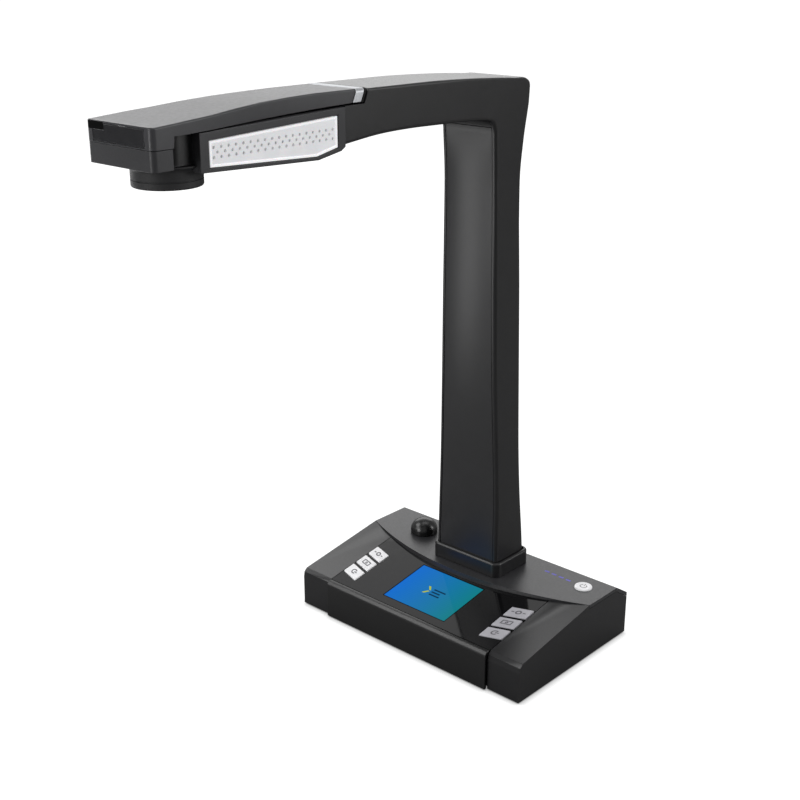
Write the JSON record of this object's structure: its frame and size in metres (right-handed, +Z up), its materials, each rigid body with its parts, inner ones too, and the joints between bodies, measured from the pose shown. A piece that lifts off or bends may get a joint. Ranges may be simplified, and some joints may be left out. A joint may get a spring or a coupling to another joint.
{
  "type": "document camera",
  "caption": "Desk document camera: weighted base with colour screen, keys and knob, tall column, and an arm whose head holds a lens and side lamps.",
  "frame": {"origin": "on the desk surface, under the middle of the whole object's box, between the base and the head", "axes": "+Z up, +Y to the back (towards the base), +X to the right of someone facing the screen"},
  "size_m": [0.2, 0.332, 0.3896],
  "materials": {
    "shell_plastic": "fine satin texture, black",
    "front_cover_plastic": "satin, dark grey",
    "deck_plastic": "polished, black",
    "rear_panel_plastic": "semi-gloss, dark grey",
    "lid_plastic": "glossy, black",
    "window_plastic": "polished, smoked black",
    "indicator_lens": "polished, black",
    "screen_glass": "lit colour display under glass",
    "display_module": "pressed metal frame",
    "white_key_plastic": "satin, white",
    "grey_key_plastic": "satin, light grey",
    "knob_plastic": "glossy, black",
    "zinc_steel": "zinc-plated steel",
    "circuit_board": "green solder mask",
    "socket_shell": "matt, black",
    "diffuser_plastic": "milky white, perforated pattern",
    "trim_chrome": "satin chrome plating",
    "lens_glass": "coated lens glass",
    "foot_rubber": "matt black rubber",
    "cable_jacket": "soft black PVC"
  },
  "bodies": {
    "root": {"base_tray": "shell_plastic", "left_end_cap": "shell_plastic", "right_end_cap": "shell_plastic", "front_fascia": "shell_plastic", "deck_plate": "deck_plastic", "rear_deck_panel": "rear_panel_plastic", "rear_cover": "shell_plastic", "front_left_foot": "foot_rubber", "front_right_foot": "foot_rubber", "rear_left_foot": "foot_rubber", "rear_right_foot": "foot_rubber", "screen_glass": "screen_glass", "display_module": "display_module", "left_key_board": "circuit_board", "right_key_board": "circuit_board", "power_switch": "circuit_board", "potentiometer_body": "socket_shell", "ballast_plate": "zinc_steel", "main_board": "circuit_board", "usb_socket": "socket_shell", "dc_inlet": "socket_shell", "column_collar": "shell_plastic", "arm_column_shell": "shell_plastic", "column_front_cover": "front_cover_plastic", "arm_lower_cover": "shell_plastic", "column_spine": "zinc_steel", "spine_screw_1": "zinc_steel", "spine_screw_2": "zinc_steel", "spine_screw_3": "zinc_steel", "spine_screw_4": "zinc_steel", "wiring_harness": "cable_jacket", "trim_ring": "trim_chrome", "head_top_cover": "lid_plastic", "head_lower_housing": "shell_plastic", "front_window": "window_plastic", "indicator_lens": "indicator_lens", "left_light_housing": "shell_plastic", "right_light_housing": "shell_plastic", "left_light_panel": "diffuser_plastic", "right_light_panel": "diffuser_plastic", "left_led_board": "circuit_board", "right_led_board": "circuit_board", "lens_barrel": "shell_plastic", "lens_bezel": "shell_plastic", "lens_glass": "lens_glass", "camera_module": "zinc_steel", "camera_board": "circuit_board"},
    "left_key_1": {"left_key_1": "white_key_plastic"},
    "left_key_2": {"left_key_2": "white_key_plastic"},
    "left_key_3": {"left_key_3": "white_key_plastic"},
    "right_key_1": {"right_key_1": "grey_key_plastic"},
    "right_key_2": {"right_key_2": "grey_key_plastic"},
    "right_key_3": {"right_key_3": "grey_key_plastic"},
    "power_button": {"power_button": "white_key_plastic"},
    "knob": {"brightness_knob": "knob_plastic", "potentiometer_shaft": "zinc_steel"}
  },
  "joints": [
    {"name": "left_key_1_press", "type": "slide", "parent": "root", "child": "left_key_1", "axis": [0, 0.1623, -0.9867], "range_m": [0, 0.0008], "stiffness_N_per_m": 400},
    {"name": "left_key_2_press", "type": "slide", "parent": "root", "child": "left_key_2", "axis": [0, 0.1623, -0.9867], "range_m": [0, 0.0008], "stiffness_N_per_m": 400},
    {"name": "left_key_3_press", "type": "slide", "parent": "root", "child": "left_key_3", "axis": [0, 0.1623, -0.9867], "range_m": [0, 0.0008], "stiffness_N_per_m": 400},
    {"name": "right_key_1_press", "type": "slide", "parent": "root", "child": "right_key_1", "axis": [0, 0.1623, -0.9867], "range_m": [0, 0.0008], "stiffness_N_per_m": 400},
    {"name": "right_key_2_press", "type": "slide", "parent": "root", "child": "right_key_2", "axis": [0, 0.1623, -0.9867], "range_m": [0, 0.0008], "stiffness_N_per_m": 400},
    {"name": "right_key_3_press", "type": "slide", "parent": "root", "child": "right_key_3", "axis": [0, 0.1623, -0.9867], "range_m": [0, 0.0008], "stiffness_N_per_m": 400},
    {"name": "power_button_press", "type": "slide", "parent": "root", "child": "power_button", "axis": [0, 0, -1], "range_m": [0, 0.001], "stiffness_N_per_m": 500},
    {"name": "brightness_knob_turn", "type": "hinge", "parent": "root", "child": "knob", "pos_m": [-0.0593, 0.1299, 0.045], "axis": [0, 0, 1], "range_deg": [-140, 140]}
  ]
}
